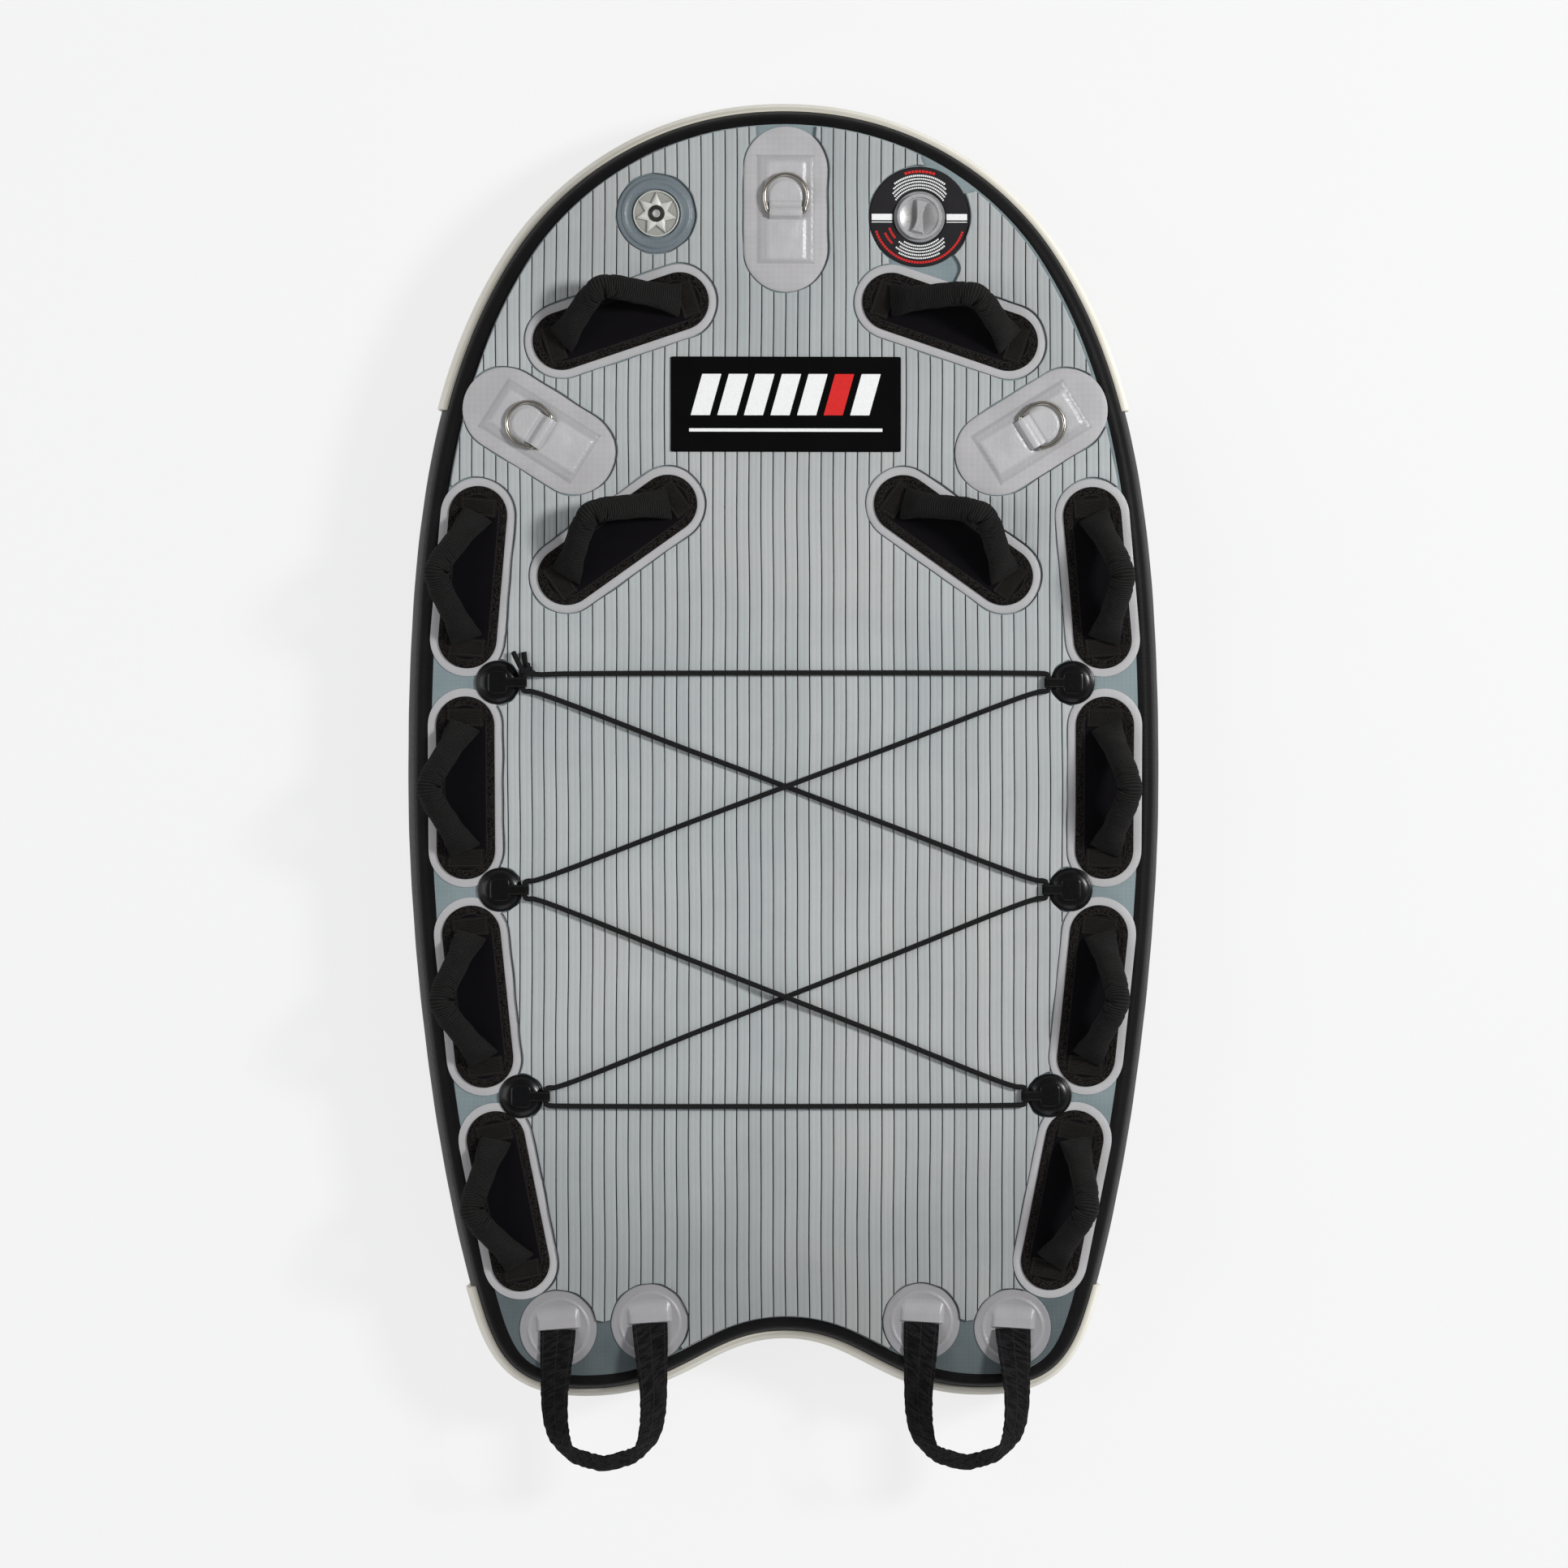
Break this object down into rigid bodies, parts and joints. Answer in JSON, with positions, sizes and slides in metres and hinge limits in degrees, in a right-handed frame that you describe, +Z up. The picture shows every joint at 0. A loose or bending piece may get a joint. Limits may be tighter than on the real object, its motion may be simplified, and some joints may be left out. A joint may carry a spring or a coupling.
{
  "type": "watercraft rescue sled",
  "caption": "Inflatable drop-stitch rescue sled with webbing grab handles, tow rings, bungee lacing, tail straps and two valves.",
  "frame": {"origin": "on the flat underside, halfway between the nose and the tail of the hull", "axes": "+X to the right of a person lying on the deck with the head at the nose, +Y towards the nose, +Z up from the underside to the deck"},
  "size_m": [1.0238, 1.859, 0.2315],
  "materials": {
    "drop_stitch_threads": "white polyester threads",
    "pvc_skin": "blue-grey coated fabric, satin",
    "pvc_wall": "black coated fabric, satin",
    "seam_tape": "black coated fabric tape, satin",
    "cream_rubber": "ribbed cream rubber",
    "foam_pad": "grooved closed-cell foam, matte",
    "panel": "black, matte",
    "grey_patch": "light grey coated fabric with a fine weave",
    "knuckle_pad": "black padded cloth with a bound edge, on a light grey patch",
    "webbing": "black woven webbing",
    "stainless_steel": "polished stainless steel",
    "moulded_anchor": "glossy black plastic",
    "bungee": "black braided sheath",
    "valve_plastic": "warm grey moulded plastic",
    "valve_stem": "grey moulded plastic",
    "valve_cap": "silver grey moulded plastic",
    "label_disc": "black printed disc, left plain"
  },
  "bodies": {
    "hull": {"drop_stitch_core": "drop_stitch_threads", "top_skin": "pvc_skin", "bottom_skin": "pvc_skin", "side_wall": "pvc_wall", "upper_seam_tape": "seam_tape", "lower_seam_tape": "seam_tape", "nose_bumper": "cream_rubber", "tail_bumper": "cream_rubber", "deck_pad": "foam_pad", "name_panel": "panel", "handle_pad_bow_left": "knuckle_pad", "handle_pad_bow_right": "knuckle_pad", "handle_pad_chest_left": "knuckle_pad", "handle_pad_chest_right": "knuckle_pad", "handle_pad_left_1": "knuckle_pad", "handle_pad_left_2": "knuckle_pad", "handle_pad_left_3": "knuckle_pad", "handle_pad_left_4": "knuckle_pad", "handle_pad_right_1": "knuckle_pad", "handle_pad_right_2": "knuckle_pad", "handle_pad_right_3": "knuckle_pad", "handle_pad_right_4": "knuckle_pad", "tow_patch_nose": "grey_patch", "tow_patch_left": "grey_patch", "tow_patch_right": "grey_patch", "cord_anchor_front_left": "moulded_anchor", "cord_anchor_front_right": "moulded_anchor", "cord_anchor_middle_left": "moulded_anchor", "cord_anchor_middle_right": "moulded_anchor", "cord_anchor_rear_left": "moulded_anchor", "cord_anchor_rear_right": "moulded_anchor", "bungee_cord": "bungee", "strap_patch_left_outer": "grey_patch", "strap_patch_left_inner": "grey_patch", "strap_patch_right_outer": "grey_patch", "strap_patch_right_inner": "grey_patch", "relief_valve_boot": "pvc_skin", "relief_valve_body": "valve_plastic", "inflation_valve_disc": "label_disc", "inflation_valve_body": "valve_plastic"},
    "grip_bow_left": {"grip_bow_left": "webbing"},
    "grip_bow_right": {"grip_bow_right": "webbing"},
    "grip_chest_left": {"grip_chest_left": "webbing"},
    "grip_chest_right": {"grip_chest_right": "webbing"},
    "grip_left_1": {"grip_left_1": "webbing"},
    "grip_left_2": {"grip_left_2": "webbing"},
    "grip_left_3": {"grip_left_3": "webbing"},
    "grip_left_4": {"grip_left_4": "webbing"},
    "grip_right_1": {"grip_right_1": "webbing"},
    "grip_right_2": {"grip_right_2": "webbing"},
    "grip_right_3": {"grip_right_3": "webbing"},
    "grip_right_4": {"grip_right_4": "webbing"},
    "tow_ring_nose": {"tow_ring_nose": "stainless_steel"},
    "tow_ring_left": {"tow_ring_left": "stainless_steel"},
    "tow_ring_right": {"tow_ring_right": "stainless_steel"},
    "tail_strap_left": {"tail_strap_left": "webbing"},
    "tail_strap_right": {"tail_strap_right": "webbing"},
    "relief_valve_stem": {"relief_valve_stem": "valve_stem"},
    "inflation_valve_cap": {"inflation_valve_cap": "valve_cap"},
    "inflation_valve_stem": {"inflation_valve_stem": "valve_stem"}
  },
  "joints": [
    {"name": "grip_bow_left_swing", "type": "hinge", "parent": "hull", "child": "grip_bow_left", "pos_m": [-0.2233, 0.5789, 0.1593], "axis": [0.9472, 0.3206, 0], "range_deg": [-5, 95]},
    {"name": "grip_bow_right_swing", "type": "hinge", "parent": "hull", "child": "grip_bow_right", "pos_m": [0.2233, 0.5789, 0.1593], "axis": [0.9472, -0.3206, 0], "range_deg": [-5, 95]},
    {"name": "grip_chest_left_swing", "type": "hinge", "parent": "hull", "child": "grip_chest_left", "pos_m": [-0.2279, 0.2827, 0.1593], "axis": [0.8141, 0.5807, 0], "range_deg": [-5, 95]},
    {"name": "grip_chest_right_swing", "type": "hinge", "parent": "hull", "child": "grip_chest_right", "pos_m": [0.2279, 0.2827, 0.1593], "axis": [0.8141, -0.5807, 0], "range_deg": [-5, 95]},
    {"name": "grip_left_1_swing", "type": "hinge", "parent": "hull", "child": "grip_left_1", "pos_m": [-0.42365, 0.232, 0.1593], "axis": [0.0842, 0.9964, 0], "range_deg": [-8, 92]},
    {"name": "grip_left_2_swing", "type": "hinge", "parent": "hull", "child": "grip_left_2", "pos_m": [-0.43326, -0.053, 0.1593], "axis": [-0.0062, 1, 0], "range_deg": [-8, 92]},
    {"name": "grip_left_3_swing", "type": "hinge", "parent": "hull", "child": "grip_left_3", "pos_m": [-0.41683, -0.3355, 0.1593], "axis": [-0.1027, 0.9947, 0], "range_deg": [-8, 92]},
    {"name": "grip_left_4_swing", "type": "hinge", "parent": "hull", "child": "grip_left_4", "pos_m": [-0.37559, -0.6125, 0.1593], "axis": [-0.1978, 0.9802, 0], "range_deg": [-8, 92]},
    {"name": "grip_right_1_swing", "type": "hinge", "parent": "hull", "child": "grip_right_1", "pos_m": [0.42365, 0.232, 0.1593], "axis": [0.0842, -0.9964, 0], "range_deg": [-25, 75]},
    {"name": "grip_right_2_swing", "type": "hinge", "parent": "hull", "child": "grip_right_2", "pos_m": [0.43326, -0.053, 0.1593], "axis": [-0.0062, -1, 0], "range_deg": [-25, 75]},
    {"name": "grip_right_3_swing", "type": "hinge", "parent": "hull", "child": "grip_right_3", "pos_m": [0.41683, -0.3355, 0.1593], "axis": [-0.1027, -0.9947, 0], "range_deg": [-25, 75]},
    {"name": "grip_right_4_swing", "type": "hinge", "parent": "hull", "child": "grip_right_4", "pos_m": [0.37559, -0.6125, 0.1593], "axis": [-0.1978, -0.9802, 0], "range_deg": [-25, 75]},
    {"name": "tow_ring_nose_swing", "type": "hinge", "parent": "hull", "child": "tow_ring_nose", "pos_m": [0, 0.7266, 0.1578], "axis": [1, 0, 0], "range_deg": [0, 178]},
    {"name": "tow_ring_left_swing", "type": "hinge", "parent": "hull", "child": "tow_ring_left", "pos_m": [-0.32989, 0.42767, 0.1578], "axis": [0.5299, 0.848, 0], "range_deg": [0, 178]},
    {"name": "tow_ring_right_swing", "type": "hinge", "parent": "hull", "child": "tow_ring_right", "pos_m": [0.32989, 0.42767, 0.1578], "axis": [0.5299, -0.848, 0], "range_deg": [0, 178]},
    {"name": "tail_strap_left_swing", "type": "hinge", "parent": "hull", "child": "tail_strap_left", "pos_m": [-0.2461, -0.78125, 0.1568], "axis": [-0.9977, -0.0685, 0], "range_deg": [0, 120]},
    {"name": "tail_strap_right_swing", "type": "hinge", "parent": "hull", "child": "tail_strap_right", "pos_m": [0.2461, -0.78125, 0.1568], "axis": [-0.9977, 0.0685, 0], "range_deg": [0, 120]},
    {"name": "relief_valve_press", "type": "slide", "parent": "hull", "child": "relief_valve_stem", "axis": [0, 0, -1], "range_m": [0, 0.003], "stiffness_N_per_m": 300, "springref_m": -0.003},
    {"name": "inflation_cap_turn", "type": "hinge", "parent": "hull", "child": "inflation_valve_cap", "pos_m": [0.1815, 0.7211, 0.1536], "axis": [0, 0, 1], "range_deg": [0, 90]},
    {"name": "inflation_valve_press", "type": "slide", "parent": "hull", "child": "inflation_valve_stem", "axis": [0, 0, -1], "range_m": [0, 0.004], "stiffness_N_per_m": 400, "springref_m": -0.003}
  ]
}
